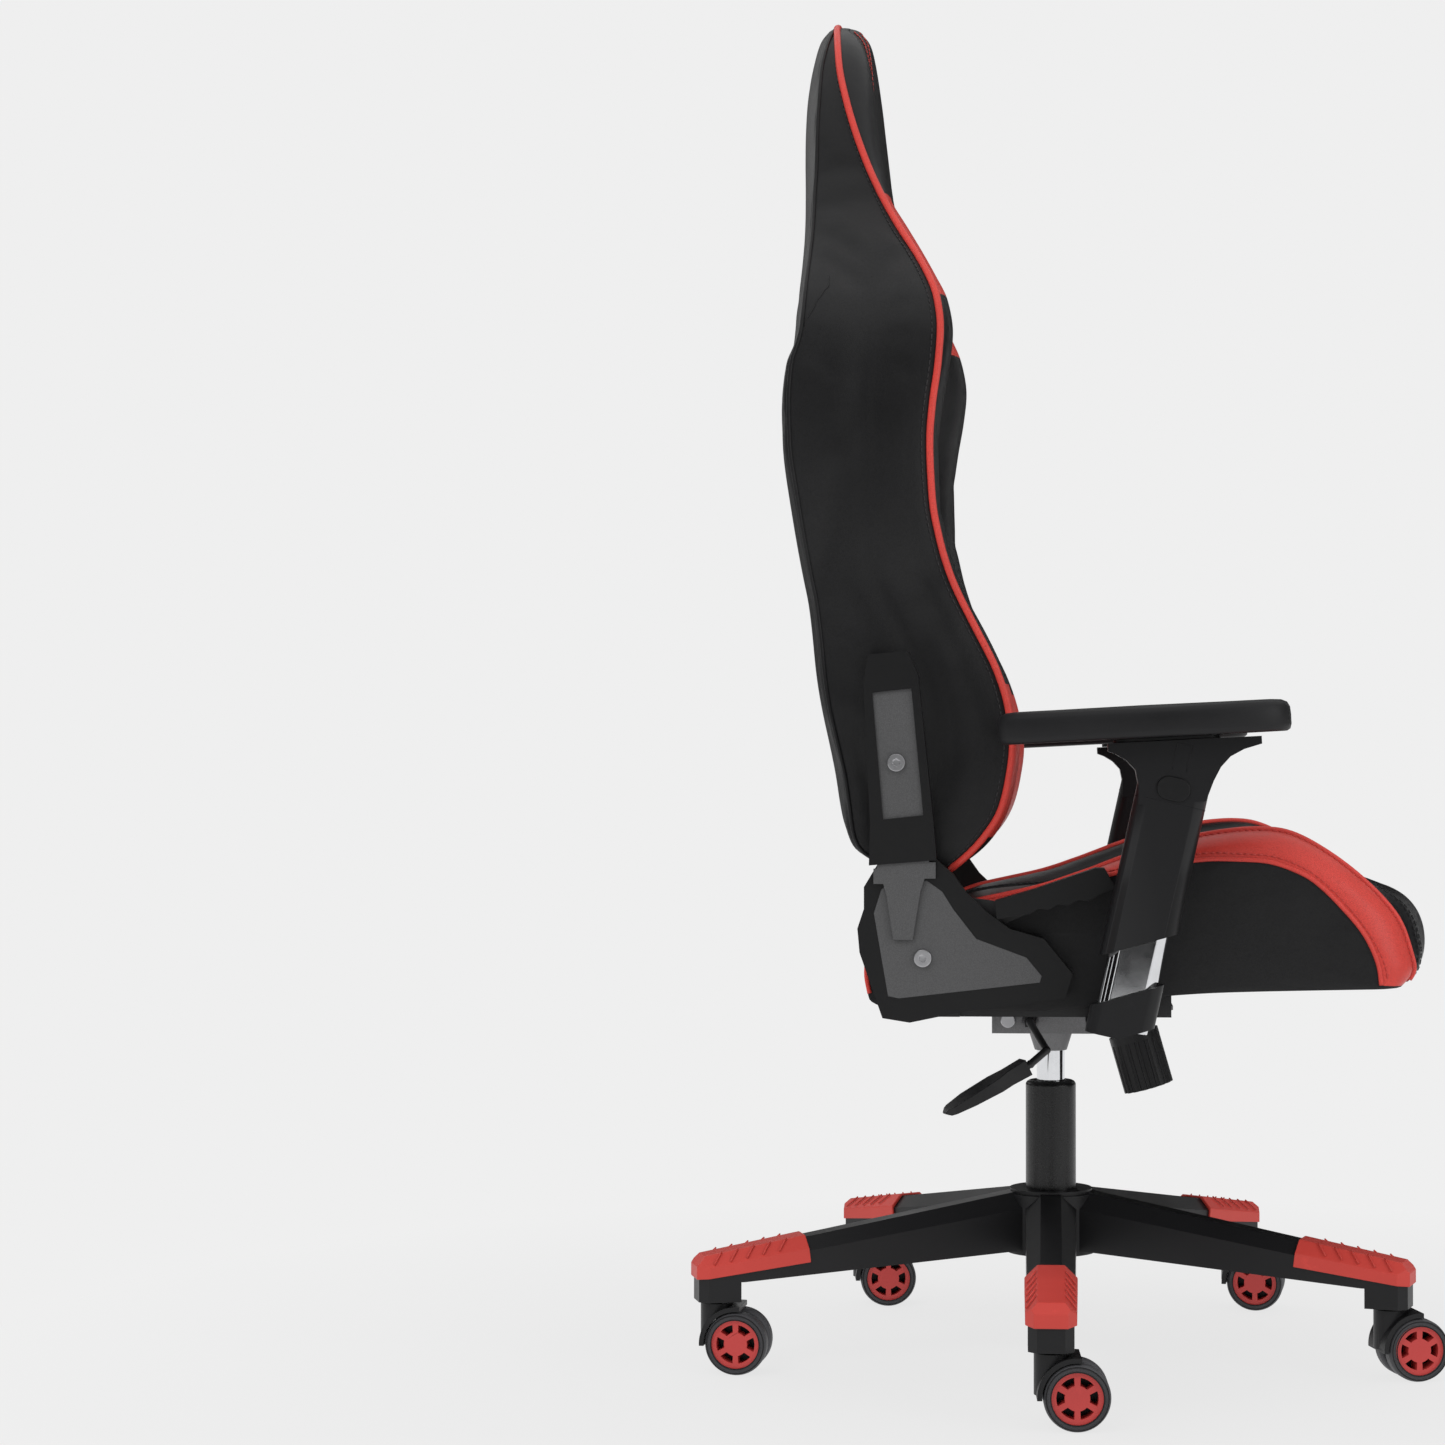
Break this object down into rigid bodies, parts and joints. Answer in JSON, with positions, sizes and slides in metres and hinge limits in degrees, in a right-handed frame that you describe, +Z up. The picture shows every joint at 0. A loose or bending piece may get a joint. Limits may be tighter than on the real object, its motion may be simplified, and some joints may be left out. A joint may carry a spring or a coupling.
{
  "type": "gaming chair",
  "caption": "Racing-style swivel chair with a reclining bucket back, side recliners, height-adjustable armrests and a five-star caster base.",
  "frame": {"origin": "on the floor, on the swivel axis of the column", "axes": "+X forward, +Y to the sitter's left, +Z up"},
  "size_m": [0.7279, 0.7102, 1.327],
  "materials": {
    "nylon_black": "satin moulded nylon",
    "trim_red": "satin moulded",
    "tube_black": "satin paint",
    "chrome": "polished",
    "bush_natural": "natural acetal",
    "steel": "zinc plated",
    "frame_black": "powder coat",
    "plate_grey": "textured powder coat",
    "leather_black": "satin synthetic leather",
    "cover_black": "fine moulded texture",
    "pad_black": "soft-touch polyurethane",
    "tyre_grey": "satin polyurethane",
    "hub_red": "semi-gloss moulded"
  },
  "bodies": {
    "base": {"star_base": "nylon_black", "arm_caps": "trim_red", "gas_tube": "tube_black", "gas_bush": "bush_natural"},
    "piston": {"gas_rod": "steel"},
    "lift": {"gas_spindle": "chrome", "mech_housing": "frame_black", "tilt_pin": "steel", "tilt_spring": "steel"},
    "tension": {"tension_knob": "nylon_black"},
    "lever_carrier": {"lever_slider": "nylon_black"},
    "lever": {"lever_rod": "frame_black", "lever_paddle": "nylon_black"},
    "seat": {"tilt_plate": "plate_grey", "seat_frame": "frame_black", "seat_cushion": "leather_black", "seat_bolts": "steel", "seat_bracket_left": "plate_grey", "seat_bracket_right": "plate_grey", "bracket_cover_left": "cover_black", "bracket_cover_right": "cover_black", "arm_mount_left": "nylon_black", "arm_mount_right": "nylon_black", "arm_post_left": "chrome", "arm_post_right": "chrome"},
    "recline_lever": {"cross_rod": "frame_black", "handle_arm": "frame_black", "handle_grip": "cover_black"},
    "back": {"back_frame": "frame_black", "back_cushion": "leather_black", "back_bolts": "steel", "back_arm_left": "plate_grey", "back_arm_right": "plate_grey", "back_cover_left": "cover_black", "back_cover_right": "cover_black", "recliner_left": "steel", "recliner_right": "steel"},
    "armrest_left": {"arm_sleeve_left": "nylon_black"},
    "button_left": {"arm_button_left": "cover_black"},
    "pad_carrier_left": {"pad_slider_left": "nylon_black"},
    "pad_left": {"arm_pad_left": "pad_black"},
    "armrest_right": {"arm_sleeve_right": "nylon_black"},
    "button_right": {"arm_button_right": "cover_black"},
    "pad_carrier_right": {"pad_slider_right": "nylon_black"},
    "pad_right": {"arm_pad_right": "pad_black"},
    "caster_1": {"caster_housing_1": "nylon_black"},
    "wheels_1": {"caster_tyres_1": "tyre_grey", "caster_hubs_1": "hub_red"},
    "caster_2": {"caster_housing_2": "nylon_black"},
    "wheels_2": {"caster_tyres_2": "tyre_grey", "caster_hubs_2": "hub_red"},
    "caster_3": {"caster_housing_3": "nylon_black"},
    "wheels_3": {"caster_tyres_3": "tyre_grey", "caster_hubs_3": "hub_red"},
    "caster_4": {"caster_housing_4": "nylon_black"},
    "wheels_4": {"caster_tyres_4": "tyre_grey", "caster_hubs_4": "hub_red"},
    "caster_5": {"caster_housing_5": "nylon_black"},
    "wheels_5": {"caster_tyres_5": "tyre_grey", "caster_hubs_5": "hub_red"}
  },
  "joints": [
    {"name": "seat_swivel", "type": "hinge", "parent": "base", "child": "piston", "pos_m": [0, 0, 0.07], "axis": [0, 0, 1], "continuous": true},
    {"name": "seat_height", "type": "slide", "parent": "piston", "child": "lift", "axis": [0, 0, 1], "range_m": [0, 0.08]},
    {"name": "seat_tilt", "type": "hinge", "parent": "lift", "child": "seat", "pos_m": [-0.042, 0, 0.336], "axis": [0, -1, 0], "range_deg": [0, 10], "stiffness_Nm_per_rad": 160, "springref_deg": -11.46},
    {"name": "tension_turn", "type": "hinge", "parent": "lift", "child": "tension", "pos_m": [0.082, 0, 0.3205], "axis": [-0.2756, 0, 0.9613], "range_deg": [-360, 360]},
    {"name": "tilt_lock", "type": "slide", "parent": "lift", "child": "lever_carrier", "axis": [0, -1, 0], "range_m": [0, 0.008]},
    {"name": "height_lever", "type": "hinge", "parent": "lever_carrier", "child": "lever", "pos_m": [-0.02, -0.064, 0.336], "axis": [-1, 0, 0], "range_deg": [0, 8], "stiffness_Nm_per_rad": 2.5, "springref_deg": -5.73},
    {"name": "recline_lever", "type": "hinge", "parent": "seat", "child": "recline_lever", "pos_m": [-0.135, 0, 0.459], "axis": [0, -1, 0], "range_deg": [0, 25], "stiffness_Nm_per_rad": 2, "springref_deg": -11.46},
    {"name": "recline", "type": "hinge", "parent": "seat", "child": "back", "pos_m": [-0.135, 0, 0.459], "axis": [0, -1, 0], "range_deg": [0, 88]},
    {"name": "armrest_height_left", "type": "slide", "parent": "seat", "child": "armrest_left", "axis": [0.2164, 0, 0.9763], "range_m": [-0.035, 0.04]},
    {"name": "armrest_button_left", "type": "slide", "parent": "armrest_left", "child": "button_left", "axis": [0, -1, 0], "range_m": [0, 0.002], "stiffness_N_per_m": 2000, "springref_m": -0.001},
    {"name": "pad_slide_left", "type": "slide", "parent": "armrest_left", "child": "pad_carrier_left", "axis": [0.9987, 0, 0.0506], "range_m": [-0.025, 0.025]},
    {"name": "pad_swivel_left", "type": "hinge", "parent": "pad_carrier_left", "child": "pad_left", "pos_m": [0.10452, 0.301, 0.60874], "axis": [0.0506, 0, -0.9987], "range_deg": [0, 20]},
    {"name": "armrest_height_right", "type": "slide", "parent": "seat", "child": "armrest_right", "axis": [0.2164, 0, 0.9763], "range_m": [-0.035, 0.04]},
    {"name": "armrest_button_right", "type": "slide", "parent": "armrest_right", "child": "button_right", "axis": [0, 1, 0], "range_m": [0, 0.002], "stiffness_N_per_m": 2000, "springref_m": -0.001},
    {"name": "pad_slide_right", "type": "slide", "parent": "armrest_right", "child": "pad_carrier_right", "axis": [0.9987, 0, 0.0506], "range_m": [-0.025, 0.025]},
    {"name": "pad_swivel_right", "type": "hinge", "parent": "pad_carrier_right", "child": "pad_right", "pos_m": [0.10452, -0.301, 0.60874], "axis": [-0.0506, 0, 0.9987], "range_deg": [0, 20]},
    {"name": "caster_swivel_1", "type": "hinge", "parent": "base", "child": "caster_1", "pos_m": [0, -0.34, 0.07], "axis": [0, 0, 1], "continuous": true},
    {"name": "wheel_roll_1", "type": "hinge", "parent": "caster_1", "child": "wheels_1", "pos_m": [0.02197, -0.33885, 0.03], "axis": [-0.0523, 0.9986, 0], "continuous": true},
    {"name": "caster_swivel_2", "type": "hinge", "parent": "base", "child": "caster_2", "pos_m": [0.32336, -0.10507, 0.07], "axis": [0, 0, 1], "continuous": true},
    {"name": "wheel_roll_2", "type": "hinge", "parent": "caster_2", "child": "wheels_2", "pos_m": [0.34471, -0.09974, 0.03], "axis": [-0.2419, 0.9703, 0], "continuous": true},
    {"name": "caster_swivel_3", "type": "hinge", "parent": "base", "child": "caster_3", "pos_m": [0.19985, 0.27507, 0.07], "axis": [0, 0, 1], "continuous": true},
    {"name": "wheel_roll_3", "type": "hinge", "parent": "caster_3", "child": "wheels_3", "pos_m": [0.22163, 0.272, 0.03], "axis": [0.1392, 0.9903, 0], "continuous": true},
    {"name": "caster_swivel_4", "type": "hinge", "parent": "base", "child": "caster_4", "pos_m": [-0.19985, 0.27507, 0.07], "axis": [0, 0, 1], "continuous": true},
    {"name": "wheel_roll_4", "type": "hinge", "parent": "caster_4", "child": "wheels_4", "pos_m": [-0.17797, 0.27736, 0.03], "axis": [-0.1045, 0.9945, 0], "continuous": true},
    {"name": "caster_swivel_5", "type": "hinge", "parent": "base", "child": "caster_5", "pos_m": [-0.32336, -0.10507, 0.07], "axis": [0, 0, 1], "continuous": true},
    {"name": "wheel_roll_5", "type": "hinge", "parent": "caster_5", "child": "wheels_5", "pos_m": [-0.30141, -0.1066, 0.03], "axis": [0.0698, 0.9976, 0], "continuous": true}
  ]
}
